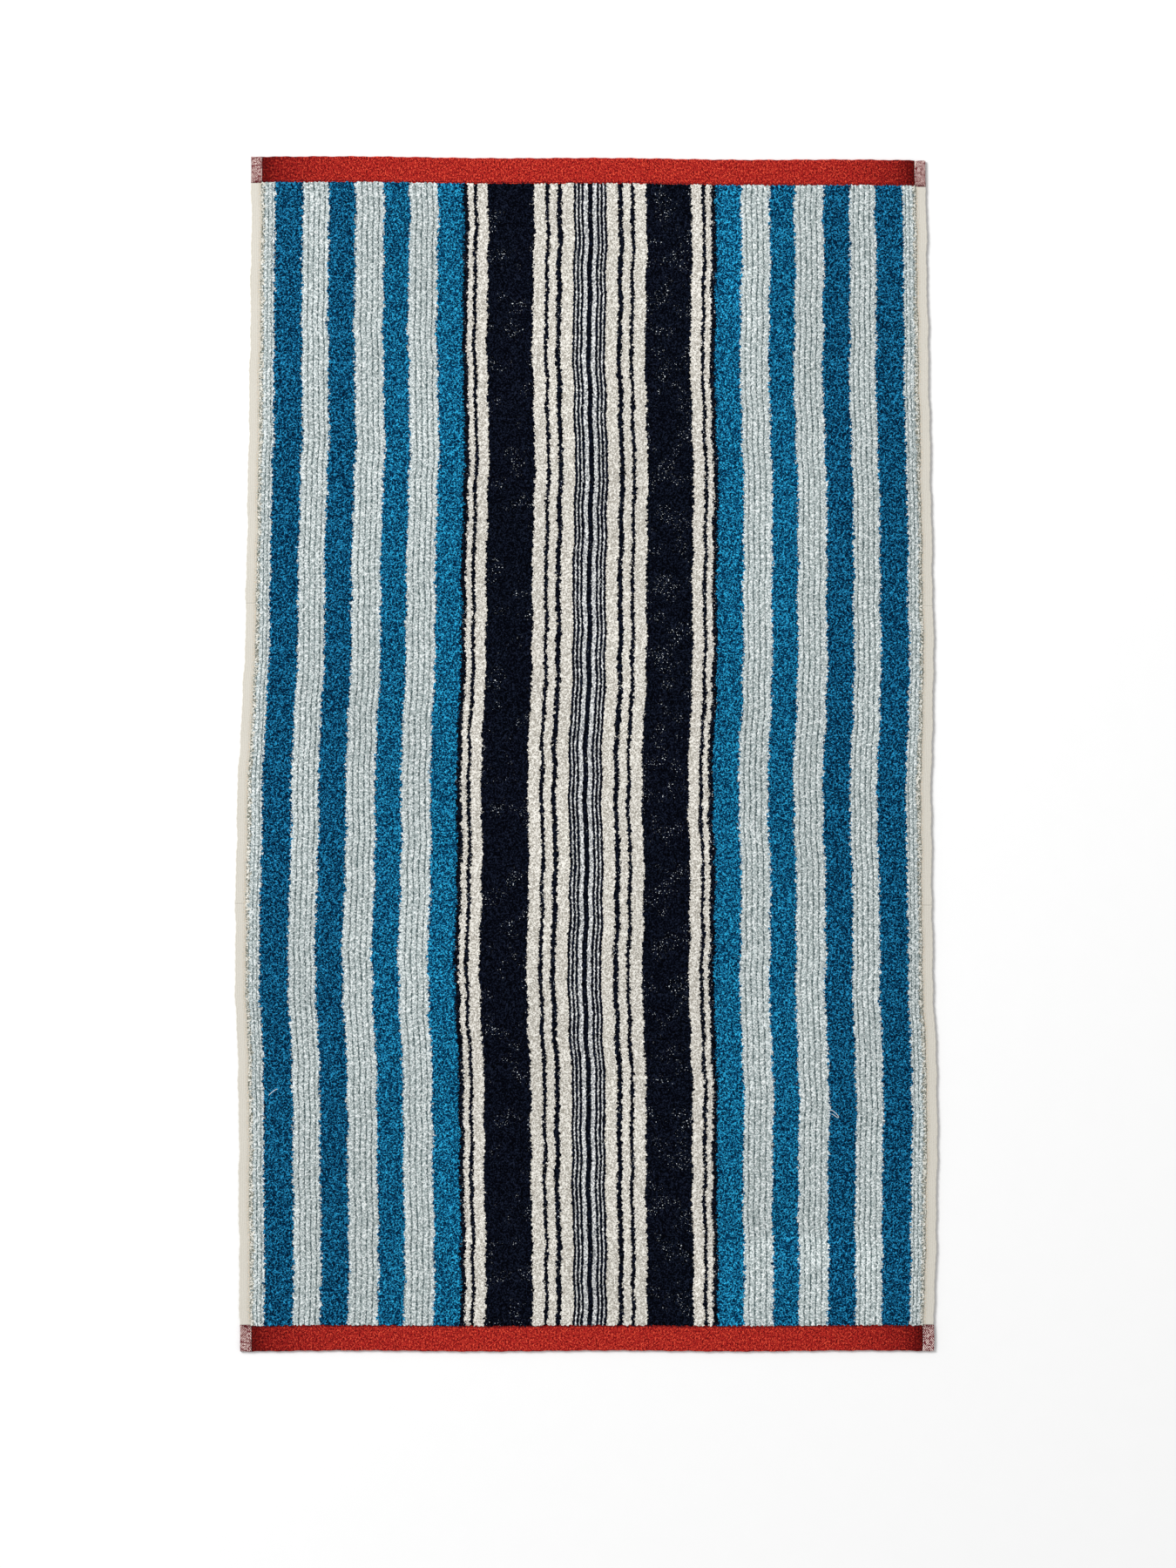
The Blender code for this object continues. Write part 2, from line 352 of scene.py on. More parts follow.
def closed_layer(name, upper, skirts, material, attributes, turned=False):
    """A closed layer of cloth. upper is a grid of points, its outer face, and skirts are the rims under it.

    Each rim has a point for each point round the grid's edge, anticlockwise from the first corner. The far
    face has one wide strip to each row, so it bends with the rows. turned makes a layer that faces down.
    In its bake layout the outer face lies above 0.07, with the rims below it and the far face at the foot.
    """
    rows, columns = upper.shape[:2]
    index = np.arange(rows * columns).reshape(rows, columns)
    edge = edge_of(index)
    count = len(edge)
    rims = [edge] + [rows * columns + level * count + np.arange(count) for level in range(len(skirts))]
    faces = [np.stack([index[:-1, :-1], index[:-1, 1:], index[1:, 1:], index[1:, :-1]], -1).reshape(-1, 4)]
    across, along = np.meshgrid(np.linspace(0.002, 0.998, columns), np.linspace(0.07, 0.998, rows))
    grid_uv = np.stack([across, along], -1).reshape(-1, 2)
    uv = [grid_uv[faces[0].ravel()]]
    for level in range(len(skirts)):
        high, low = rims[level], rims[level + 1]
        block = np.stack([low, np.roll(low, -1), np.roll(high, -1), high], -1)
        faces.append(block)
        here = np.arange(count) / count * 0.996 + 0.002
        then = here + 0.996 / count
        bottom = 0.062 - 0.02 * (level + 1) / len(skirts)
        top = 0.062 - 0.02 * level / len(skirts)
        rim_uv = [(here, bottom), (then, bottom), (then, top), (here, top)]
        corners = np.stack([np.stack([u, np.full(count, v)], -1) for u, v in rim_uv], 1)
        uv.append(corners.reshape(-1, 2))
    last = rims[-1]
    near, right = last[:columns], last[columns - 1:columns - 1 + rows]
    far, left = last[columns + rows - 2:2 * columns + rows - 2], last[2 * columns + rows - 3:]
    left = np.concatenate([[last[0]], left[::-1]])
    strips = np.stack([left[1:-2], left[2:-1], right[2:-1], right[1:-2]], -1)
    faces.append(strips)
    place = (np.arange(1, rows - 1) / (rows - 1) * 0.996 + 0.002)
    strip_uv = [(place[:-1], 0.002), (place[1:], 0.002), (place[1:], 0.036), (place[:-1], 0.036)]
    uv.append(np.stack([np.stack([u, np.full(len(u), v)], -1) for u, v in strip_uv], 1).reshape(-1, 2))
    for row, side, at in ((near[::-1], (left[1], right[1]), 0.0), (far[::-1], (right[-2], left[-2]), 0.99)):
        faces.append(np.concatenate([side, row])[None, :])
        run = np.linspace(0.038, 0.002, len(row))
        ends = [(at + 0.008, 0.002), (at + 0.008, 0.038)]
        uv.append(np.concatenate([ends, np.stack([np.full(len(row), at + 0.002), run], -1)]))
    points = np.concatenate([upper.reshape(-1, 3)] + list(skirts))
    if turned:
        faces = [block[:, ::-1] for block in faces]
        uv = [part.reshape(*block.shape, 2)[:, ::-1].reshape(-1, 2) for part, block in zip(uv, faces)]
    held = {}
    for title, values in attributes.items():
        flat = values.reshape(rows * columns, -1)
        flat = np.concatenate([flat] + [flat[edge]] * len(skirts))
        held[title] = flat if values.ndim == 3 else flat[:, 0]
    made = link_mesh(name, points, faces, material, uv, held)
    corners = np.isin(np.arange(len(points)), rims[0])
    sharp = made.data.attributes.new("sharp_edge", "BOOLEAN", "EDGE")
    ends = np.empty(len(made.data.edges) * 2, np.int32)
    made.data.edges.foreach_get("vertices", ends)
    sharp.data.foreach_set("value", corners[ends].reshape(-1, 2).all(1))
    return made


def join_to_cloth(piece, section, nodes):
    """Bakes the placing of a piece of one section into its mesh, and hides the solids that it stands for.
    """
    bodies, fold_y, bend = SECTIONS[section][2:]
    half_bend = bend / 2 if section == "top" else -bend / 2
    fold_y - half_bend
    fold_y + half_bend
    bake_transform(piece)
    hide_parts(*nodes)


def straight_rim(grid, z):
    """The points round a grid's edge, dropped straight down to a height."""
    edge = edge_of(grid)
    return np.concatenate([edge[:, :2], np.full((len(edge), 1), z)], 1)


undyed, undyed_shader, weave = new_material("undyed_ground_weave", 0.9, 0.15)
web = weave.attribute("web")
warp_thread = weave.math("SINE", web.part("X") * (2 * math.pi / GROUND_THREAD_MM))
weft_thread = weave.math("SINE", web.part("Y") * (2 * math.pi / GROUND_THREAD_MM))
crossing = (warp_thread * weft_thread + 1) * 0.5
fuzz = weave.noise(web, 1.4, 3.0)
undyed_colour = (crossing * 0.6 + fuzz * 0.4).mix(GROUND_SHADOW, GROUND_UNDYED)
weave.feed(undyed_shader, "Base Color", undyed_colour)
weave.feed(undyed_shader, "Normal", crossing.bump(0.5, 0.0003))

ground_of = {}
for section, (low_y, high_y, *_) in SECTIONS.items():
    ground_rows, _ = stations([low_y, high_y], ROW_STEP)
    ground_columns, _ = stations([GROUND_LOW.x, GROUND_HIGH.x], GROUND_COLUMN_STEP)
    xs, ys = np.meshgrid(ground_columns, ground_rows)
    laid_x, laid_y = lie(xs, ys)
    crimp = GROUND_CRIMP * np.sin(ys / 0.0006)
    top_face = np.stack([laid_x, laid_y, GROUND_HIGH.z + crimp - GROUND_CRIMP], -1)
    web_place = np.stack([xs * 1000, ys * 1000, np.zeros_like(xs)], -1)
    piece = closed_layer(section + "_ground_cloth", top_face, [straight_rim(top_face, GROUND_LOW.z)],
                         undyed, {"web": web_place})
    nodes = [quarter + "_ground_cloth" for quarter in QUARTERS_OF[section]]
    join_to_cloth(piece, section, nodes)
    ground_of[section] = piece
on_section = {section: [] for section in SECTIONS}

# ---------------------------------------------------------------------------------------------------
# Pile. Loops of soft two-ply cotton, one warp to each colour, about 2 mm high on both faces. They lean
# every way, so a stripe's edge is ragged, and the pale stripes are ribbed by dark lines between loops.
# ---------------------------------------------------------------------------------------------------
# Each yarn's colour deep between the loops, which is painted shade, on their sides, which is its own,
# and on their tips, which is a painted highlight.
YARNS = {
    "navy": ((0.0002, 0.0004, 0.0014), (0.0016, 0.0028, 0.0076), (0.012, 0.017, 0.034)),
    "white": ((0.16, 0.17, 0.18), (0.70, 0.71, 0.71), (0.95, 0.96, 0.96)),
    "ecru": ((0.36, 0.335, 0.29), (0.78, 0.75, 0.685), (0.95, 0.93, 0.87)),
    "bright blue": ((0.0003, 0.010, 0.032), (0.003, 0.098, 0.238), (0.036, 0.49, 0.80)),
    "mid blue": ((0.0003, 0.009, 0.028), (0.003, 0.085, 0.212), (0.033, 0.44, 0.74)),
    "dark blue": ((0.0002, 0.006, 0.020), (0.002, 0.060, 0.154), (0.026, 0.33, 0.60)),
    "pale": ((0.27, 0.32, 0.32), (0.61, 0.685, 0.685), (0.93, 0.96, 0.96)),
    "edge": ((0.14, 0.15, 0.12), (0.64, 0.63, 0.56), (0.90, 0.88, 0.82)),
}
# The warp from the middle of the cloth to the pile's side, as each stripe's yarn and width in mm.
WARP_PLAN = (
    ("navy", 1.75), ("white", 4.35), ("navy", 2.0), ("white", 1.75),
    ("navy", 1.95), ("white", 2.0), ("navy", 2.0),
    ("ecru", 12.4), ("navy", 4.1), ("ecru", 8.2), ("navy", 3.9), ("ecru", 11.8), ("navy", 45.3),
    ("ecru", 10.8), ("navy", 3.7), ("ecru", 6.0), ("navy", 4.0),
    ("bright blue", 26.2), ("pale", 28.1), ("mid blue", 26.3), ("pale", 27.6), ("dark blue", 26.8),
    ("pale", 26.4), ("dark blue", 27.4), ("pale", 11.5), ("edge", 2.6),
)
RIB_SHADOW = (0.060, 0.095, 0.100)
FLECK = (0.84, 0.90, 0.94)
FINE_HALF_MM = 18.0             # half the group of fine stripes at the middle
BLUES_FROM_MM = (118.0, 130.0)  # where the blue group begins, whose loops lean the most
RIB_MM = 5.9                    # from one dark line to the next in a pale stripe
EDGE_RIB_MM = 4.2               # the same in the narrow pale stripe beside the selvedge
LOOP_MM = 2.6                   # from one loop to the next
LOOP_STRAY = 0.00022            # how far a loop's tip strays to any side
BACK_STEP = 0.0016              # the back is made coarser than the face
BACK_LOOSENESS = 1.3            # and its loops lie further apart
PILE_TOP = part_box("upper_quarter_face_pile_centre")[1].z
PILE_HALF_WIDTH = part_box("upper_quarter_face_pile_right")[1].x
CENTRE_GROUP_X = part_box("upper_quarter_face_pile_centre")[1].x
RIGHT_GROUP_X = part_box("upper_quarter_face_pile_right")[0].x
CENTRE_HALF = (CENTRE_GROUP_X + RIGHT_GROUP_X) / 2
PILE_GROUPS = {"left": (0, 1), "centre": (1, 2), "right": (2, 3)}
PILE_ARRAYS = ("x", "y", "place", "web", "loops", "nap")
LOOP_RELIEF = 0.00062           # from between the loops to their tips
RIB_DEPTH = 0.00045             # of the furrows between the ribs of a pale stripe
SIDE_THINNING = 0.0035          # how far in from its sides the pile thins out
END_THINNING = 0.0016           # and from its ends
LAST_LOOP = 0.0048              # from one loop to the next along the pile's own edge
SIDE_REACH = 0.0007             # how far those last loops tip over the selvedge
END_REACH = 0.0013              # and over the hem
SIDE_BULGE = 0.00025            # how far they swell out halfway down
ROOT_TUCK = 0.0004              # and how far their roots go in under them
ROOT_LIFT = 0.00002             # between the roots of the loops and the ground cloth

# The plan's widths are drawn in a little, so that together they fill half the pile.
plan_total_mm = sum(width for _, width in WARP_PLAN)
plan_scale = PILE_HALF_WIDTH * 1000 / plan_total_mm
plan_edges_mm = np.concatenate([[0], np.cumsum([width for _, width in WARP_PLAN])]) * plan_scale


def wander_mm(x, y):
    """How far a warp end has strayed sideways from its place, in mm, as the web was smoothed by hand."""
    slow = 0.9 * np.sin(y / 0.061 + 4.0 * x + 0.4) + 0.7 * np.sin(y / 0.033 + 2.1 + 3.0 * x)
    quick = 0.45 * np.sin(y / 0.0123 + 9.0 * x) + 0.4 * np.sin(y / 0.0077 + 21.0 * x + 1.0)
    return (slow + quick) * (1 - (np.abs(x) / HALF_WIDTH) ** 8)


def rib_phase(across_mm):
    """How many ribs lie between a place in a pale stripe and that stripe's inner edge."""
    phase = np.full(across_mm.shape, -1.0)
    for (yarn, _), low, high in zip(WARP_PLAN, plan_edges_mm, plan_edges_mm[1:]):
        if yarn == "pale":
            narrow = high - low < 20
            ribs = round((high - low) / (EDGE_RIB_MM if narrow else RIB_MM))
            near = (across_mm > low - 10) & (across_mm < high + 10)
            phase = np.where(near, (across_mm - low) / (high - low) * ribs, phase)
    return phase


def brushed_nap_light(x, y):
    """Lighter and darker patches of painted light and shade, where the loops have been brushed one way or
    the other.

    stroke is a hand's last sweep over the lower right, which ends in an arc. rubbed is a small spot of
    painted light.
    """
    patchy = 0.05 * np.sin(x / 0.043 + np.sin(y / 0.09)) * np.sin(y / 0.075 + 2 * np.sin(x / 0.12))
    brushed_y = -0.483 - 0.015 * ((x - 0.226) / 0.092) ** 2
    below = (brushed_y - y) / 0.0022
    stroke = 1 / (1 + np.exp(-np.clip(below, -30, 30))) * np.exp(-np.clip(brushed_y - y, 0, 1) / 0.09)
    stroke = stroke * np.exp(-((x - 0.21) / 0.11) ** 4)
    rubbed = np.exp(-((x - 0.152) / 0.02) ** 2 - ((y - 0.49) / 0.08) ** 2)
    return patchy + 0.24 * stroke + 0.16 * rubbed


def pile_grid(step, face):
    """The whole pile of one face, as grids: places, loop heights, tints, leans, and where it is divided."""
    sides = [-PILE_HALF_WIDTH, -CENTRE_HALF, CENTRE_HALF, PILE_HALF_WIDTH]
    ends = [-PILE_END_Y, -SECTION_END_Y, SECTION_END_Y, PILE_END_Y]
    columns, column_at = stations(sides, step)
    rows, row_at = stations(ends, step)
    x, y = np.meshgrid(columns, rows)
    seed = 10 if face == "face" else 40
    loop_length = LOOP_MM / 1000 * (1.0 if face == "face" else BACK_LOOSENESS)
    nubs = grain(x.shape, step, loop_length, seed)
    nubs = nubs + 0.45 * grain(x.shape, step, 2.3 * loop_length, seed + 1)
    height = np.clip(0.5 + 0.34 * nubs, 0, 1)
    tint = grain(x.shape, step, 1.5 * loop_length, seed + 2)
    strayed = x * 1000 + wander_mm(x, y)
    lean_share = np.where(np.abs(strayed) < FINE_HALF_MM, 0.3, 1.0)
    lean = 0.28 * grain(x.shape, step, 0.008, seed + 4) * lean_share
    phase = rib_phase(np.abs(strayed))
    in_rib = (phase > 0.5) & (np.abs(strayed) < plan_edges_mm[-2])
    groove = np.where(in_rib, np.exp(-((np.abs(phase - np.round(phase))) / 0.16) ** 2), 0.0)
    laid_x, laid_y = lie(x, y)
    laid_x = laid_x + LOOP_STRAY * grain(x.shape, step, 1.3 * loop_length, seed + 5)
    laid_y = laid_y + LOOP_STRAY * grain(x.shape, step, 1.3 * loop_length, seed + 6)
    # Towards its sides and ends the pile thins out, and its last loops tip over what lies beside them.
    side_gap = (PILE_HALF_WIDTH - np.abs(x)) / SIDE_THINNING
    end_gap = (PILE_END_Y - np.abs(y)) / END_THINNING
    thin = 0.00085 * np.exp(-side_gap ** 2) + 0.0006 * np.exp(-end_gap ** 2)
    uneven = grain(x.shape, step, 0.0042, seed + 7)
    side_lobe = np.abs(np.sin(y * math.pi / LAST_LOOP + 0.7 * uneven))
    end_lobe = np.abs(np.sin(x * math.pi / LAST_LOOP + 0.7 * uneven))
    laid_x = laid_x + np.sign(x) * np.exp(-side_gap) * SIDE_REACH * side_lobe
    laid_y = laid_y + np.sign(y) * np.exp(-end_gap ** 2) * END_REACH * end_lobe
    fall = LOOP_RELIEF * (1 - height) + RIB_DEPTH * groove + thin
    return {
        "x": x, "y": y, "row_at": row_at, "column_at": column_at,
        "place": np.stack([laid_x, laid_y, fall], -1),
        "web": np.stack([strayed, y * 1000, phase], -1),
        "loops": np.stack([height, tint, lean], -1),
        "nap": brushed_nap_light(x, y),
    }


def pile_rims(grid, x, y, root_z):
    """Two rims under a piece of pile: on the cloth's own edges the loops bulge out, elsewhere they drop."""
    top, edge_x, edge_y = edge_of(grid), edge_of(x), edge_of(y)
    at_side = np.sign(edge_x) * (np.abs(edge_x) > PILE_HALF_WIDTH - 1e-6)
    at_end = np.sign(edge_y) * (np.abs(edge_y) > PILE_END_Y - 1e-6)
    middle = top.copy()
    middle[:, 0] += SIDE_BULGE * at_side
    middle[:, 1] += SIDE_BULGE * at_end
    middle[:, 2] = root_z + 0.35 * (top[:, 2] - root_z)
    root = top.copy()
    root[:, 2] = root_z
    ground_x, ground_y = lie(edge_x, edge_y)
    root[:, 0] -= at_side * (np.abs(root[:, 0] - ground_x) + ROOT_TUCK)
    root[:, 1] -= at_end * (np.abs(root[:, 1] - ground_y) + ROOT_TUCK)
    return [middle, root]


def pile_material(name):
    """Looped cotton in the colours of the warp plan, from the cloth's own places and loop heights."""
    material, shader, yarn = new_material(name, 1.0, 0.0)
    place = yarn.attribute("web")
    loops = yarn.attribute("loops")
    # The third part of the place counts ribs. Noise leaves it out, or its jumps would show as seams.
    level = {0: place, 1: (1.0, 1.0, 0.0), 2: (0.0, 0.0, 1.0)}
    flat = yarn.node("ShaderNodeVectorMath", {"operation": "MULTIPLY_ADD"}, level, "Vector")
    # Each loop shows as a short light ridge of yarn, with its plies as finer grain and shadow all round it.
    worm = 1 - abs(yarn.noise(flat, 0.44, 0.6) - 0.5).between(0.0, 0.13)
    coil = 1 - abs(yarn.noise(flat, 0.72, 0.5) - 0.5).between(0.0, 0.13)
    ply = yarn.noise(flat, 2.4, 2.0, 0.6)
    # This tone is painted light and shade: lighter on the ridges and the higher loops, darker between them.
    painted_loop_light = worm * 0.52 + coil * 0.38 + ply * 0.40
    painted_loop_light = painted_loop_light + loops.part("X") * 0.28 + loops.part("Y") * 0.05
    # Loops lean over a stripe's edge, least where the stripes are fine and most among the blues.
    strayed = place.part("X")
    leaning = (yarn.noise(flat, 0.36, 1.0) - 0.5) * 7.5
    leaning = leaning + (yarn.noise(flat, 0.9, 0.0) - 0.5) * 4.0
    coarse = abs(strayed).between(FINE_HALF_MM - 2, FINE_HALF_MM + 2) * 0.45 + 0.25
    coarse = coarse + abs(strayed).between(*BLUES_FROM_MM) * 0.30
    across = abs(strayed + loops.part("Z") + leaning * coarse)
    bands = [(low / plan_edges_mm[-1], YARNS[band]) for low, (band, _) in zip(plan_edges_mm, WARP_PLAN)]
    share = across / float(plan_edges_mm[-1])
    tones = []
    for depth in range(3):
        stops = [(at, (*colours[depth], 1.0)) for at, colours in bands]
        ramp = {"interpolation": "CONSTANT", "stops": stops}
        tones.append(yarn.node("ShaderNodeValToRGB", ramp, {"Fac": share}, "Color"))
    painted_gap_shade, side, painted_tip_highlight = tones
    # Painted shade between the loops, the yarn's own colour on their sides, and a painted highlight on
    # their tips.
    shaded = painted_loop_light.between(0.44, 0.80).mix(painted_gap_shade, side)
    colour = painted_loop_light.between(0.78, 1.14).mix(shaded, painted_tip_highlight)
    # Dark dotted lines part the ribs of the pale stripes, at every whole count of ribs inside a stripe.
    # Pale yarn is the one whose loops have this much green on their sides and no more red than this.
    phase = place.part("Z")
    off_line = phase - phase.math("ROUND", phase) + (ply - 0.5) * 0.2 + (worm - 0.4) * 0.08
    line = 1 - abs(off_line).between(0.06, 0.19)
    inner = phase.between(0.45, 0.55) * (1 - phase.between(4.45, 4.55))
    pale = side.part("Y").between(0.64, 0.67) * (1 - side.part("X").between(0.62, 0.635))
    dots = yarn.noise(flat, 0.55, 0.5).between(0.38, 0.54) * 0.7 + 0.3
    dotted = line * inner * pale * dots * (1 - painted_loop_light.between(1.05, 1.30) * 0.5)
    colour = dotted.mix(colour, RIB_SHADOW)
    # Where the navy loops part, light ground yarn shows as short flecks. There are more on the right.
    # Navy is the one yarn with hardly any blue on the sides of its loops.
    patch = yarn.noise(flat, 0.045, 2.0) + strayed.between(20.0, 110.0) * 0.06
    fleck = yarn.noise(flat, 0.80, 1.0).between(0.695, 0.71) * patch.between(0.55, 0.64)
    navy = 1 - side.part("Z").between(0.02, 0.05)
    colour = (fleck * navy).mix(colour, FLECK)
    # The nap makes the colour lighter or darker: painted light and shade of the brushed loops.
    yarn.feed(shader, "Base Color", colour.scaled(yarn.attribute("nap", "Fac") + 1))
    height = worm * 0.55 + coil * 0.35 + ply * 0.4
    yarn.feed(shader, "Normal", height.bump(0.7, 0.0007))
    return material


materials_of = {
    "left": pile_material("blue_and_pale_loops"),
    "centre": pile_material("navy_and_ecru_loops"),
}
materials_of["right"] = materials_of["left"]

for face, step in (("face", ROW_STEP), ("back", BACK_STEP)):
    whole = pile_grid(step, face)
    on_face = face == "face"
    for band, section in enumerate(SECTIONS):
        rows = slice(whole["row_at"][band], whole["row_at"][band + 1] + 1)
        for group, (first, last) in PILE_GROUPS.items():
            columns = slice(whole["column_at"][first], whole["column_at"][last] + 1)
            part = {title: whole[title][rows, columns] for title in PILE_ARRAYS}
            grid = part["place"].copy()
            grid[:, :, 2] = PILE_TOP - grid[:, :, 2] if on_face else grid[:, :, 2]
            root_z = GROUND_HIGH.z + ROOT_LIFT if on_face else GROUND_LOW.z - ROOT_LIFT
            rims = pile_rims(grid, part["x"], part["y"], root_z)
            held = {title: part[title] for title in ("web", "loops", "nap")}
            name = f"{section}_{face}_pile_{group}"
            piece = closed_layer(name, grid, rims, materials_of[group], held, turned=not on_face)
            nodes = [f"{quarter}_{face}_pile_{group}" for quarter in QUARTERS_OF[section]]
            join_to_cloth(piece, section, nodes)
            on_section[section].append(piece)

# ---------------------------------------------------------------------------------------------------
# Selvedges. A bare strip of close plain weave down each side, in undyed cream cotton with a faint warp
# rib. Its outer edge is rolled soft where the weft turns, and stray pile ends speckle its inner edge.
# ---------------------------------------------------------------------------------------------------
SELVEDGE_LOW, SELVEDGE_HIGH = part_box("upper_quarter_selvedge_right")
SELVEDGE_RIB_MM = 1.45
SELVEDGE_PICK_MM = 0.95
SELVEDGE_ROLL = 0.00085         # radius of the rolled outer edge
SELVEDGE_CREAM = (0.69, 0.66, 0.59)
SELVEDGE_SHADE = (0.50, 0.47, 0.41)
STRAY_OCHRE = (0.60, 0.43, 0.26)
STRAY_GREY = (0.30, 0.335, 0.30)


def closed_sweep(name, rings, material, attributes, flipped=False):
    """A closed solid through a row of rings, each with the same number of points, with flat ends."""
    count, around = rings.shape[:2]
    index = np.arange(count * around).reshape(count, around)
    turned = np.roll(index, -1, axis=1)
    body = np.stack([index[:-1], turned[:-1], turned[1:], index[1:]], -1).reshape(-1, 4)
    faces = [body, index[0][::-1][None, :], index[-1][None, :]]
    v = np.linspace(0.002, 0.998, count)
    u = np.linspace(0.002, 0.93, around + 1)
    low_left = np.stack(np.meshgrid(u[:-1], v[:-1]), -1).reshape(-1, 2)
    high_right = np.stack(np.meshgrid(u[1:], v[1:]), -1).reshape(-1, 2)
    corners = [low_left, np.stack([high_right[:, 0], low_left[:, 1]], -1), high_right,
               np.stack([low_left[:, 0], high_right[:, 1]], -1)]
    uv = [np.stack(corners, 1).reshape(-1, 2)]
    turn = np.arange(around) / around * 2 * math.pi
    cap = np.stack([0.966 + 0.03 * np.cos(turn), 0.5 + 0.45 * np.sin(turn)], -1)
    uv += [cap[::-1], cap]
    if flipped:
        faces = [block[:, ::-1] for block in faces]
        uv = [part.reshape(*block.shape, 2)[:, ::-1].reshape(-1, 2) for part, block in zip(uv, faces)]
    held = {title: values.reshape(count * around, -1) for title, values in attributes.items()}
    return link_mesh(name, rings.reshape(-1, 3), faces, material, uv, held)


cream, cream_shader, tape = new_material("cream_selvedge_weave", 0.9, 0.10)
web = tape.attribute("web")
from_pile = web.part("X")
rib = tape.math("SINE", from_pile * (2 * math.pi / SELVEDGE_RIB_MM)) * 0.5 + 0.5
pick = tape.math("SINE", web.part("Y") * (2 * math.pi / SELVEDGE_PICK_MM)) * 0.5 + 0.5
slub = tape.noise(web, 0.9, 3.0, 0.6)
cream_tone = (rib * 0.30 + pick * 0.15 + slub * 0.75).between(0.15, 0.85)
cream_base = cream_tone.mix(SELVEDGE_SHADE, SELVEDGE_CREAM)
speck = tape.noise(web, 1.05, 1.0)
near_pile = 1 - from_pile.between(0.8, 5.2)
ochre = speck.between(0.55, 0.60) * near_pile * 0.75
grey = (1 - speck.between(0.40, 0.45)) * near_pile * 0.8
cream_colour = grey.mix(ochre.mix(cream_base, STRAY_OCHRE), STRAY_GREY)
tape.feed(cream_shader, "Base Color", cream_colour)
tape.feed(cream_shader, "Normal", (rib * 0.6 + pick * 0.3 + slub).bump(0.5, 0.0003))

top_run = np.linspace(0, SELVEDGE_HIGH.x - SELVEDGE_LOW.x - SELVEDGE_ROLL, 20)
rib_relief = 0.00006 * np.cos(2 * np.pi * top_run * 1000 / SELVEDGE_RIB_MM)
roll_turn = np.linspace(np.pi / 2, -np.pi / 2, 9)[1:-1]
under_run = top_run[::-4]
selvedge_across = np.concatenate([top_run, top_run[-1] + SELVEDGE_ROLL * np.cos(roll_turn), under_run])
middle_z = (SELVEDGE_HIGH.z + SELVEDGE_LOW.z) / 2
selvedge_z = np.concatenate([
    SELVEDGE_HIGH.z - 0.00006 + rib_relief, middle_z + SELVEDGE_ROLL * np.sin(roll_turn),
    np.full(len(under_run), SELVEDGE_LOW.z)])
for side_name, side in (("left", -1), ("right", 1)):
    for section, (low_y, high_y, *_) in SECTIONS.items():
        rows, _ = stations([low_y, high_y], ROW_STEP)
        along = np.repeat(rows[:, None], len(selvedge_across), 1)
        across = np.repeat(selvedge_across[None, :], len(rows), 0)
        laid_x, laid_y = lie(side * (SELVEDGE_LOW.x + across), along)
        scallop = 0.00022 * np.sin(rows / 0.00135 + side) + 0.0002 * np.sin(rows / 0.0046 + 2 * side)
        laid_x = laid_x + side * (scallop[:, None] * (across / across.max()) ** 3)
        lift = 0.00012 * np.sin(rows / 0.0118 + side)[:, None] * (across / across.max()) ** 2
        rings = np.stack([laid_x, laid_y, np.repeat(selvedge_z[None, :], len(rows), 0) + lift], -1)
        web_place = np.stack([across * 1000, along * 1000, np.full_like(across, side)], -1)
        piece = closed_sweep(f"{section}_selvedge_{side_name}", rings, cream, {"web": web_place}, side > 0)
        nodes = [f"{quarter}_selvedge_{side_name}" for quarter in QUARTERS_OF[section]]
        join_to_cloth(piece, section, nodes)
        on_section[section].append(piece)

# ---------------------------------------------------------------------------------------------------
# Hems. The last 70 mm or so of each end is woven without pile, in red twill. It is turned twice to the
# back and sewn down along its inner edge, which leaves a band three layers thick with a round fold.
# ---------------------------------------------------------------------------------------------------
HEM_LAYER = 0.00065
HEM_TURN_IN = 0.018
STITCH_MM = 3.4
HEM_COLUMN = 0.0014             # between columns of points along the band
HEM_FACE = 0.0265               # from the band's inner edge to its fold
HEM_HALF_MM = 339               # from the middle of the band to its end
TWILL_MM = 1.35                 # from one slanting line to the next
STITCH_PULL = 0.00013           # how far a stitch draws the layers together
HEM_PUFF = 0.00012              # how far the face swells between seam and fold
HEM_LOW, HEM_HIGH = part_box("top_hem_band")
SEAM_Y = (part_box("top_hem_needle_thread")[0].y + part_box("top_hem_needle_thread")[1].y) / 2
HEM_RED = (0.400, 0.0150, 0.0130)
HEM_DARK = (0.10, 0.0030, 0.0040)
HEM_BRIGHT = (0.84, 0.105, 0.050)


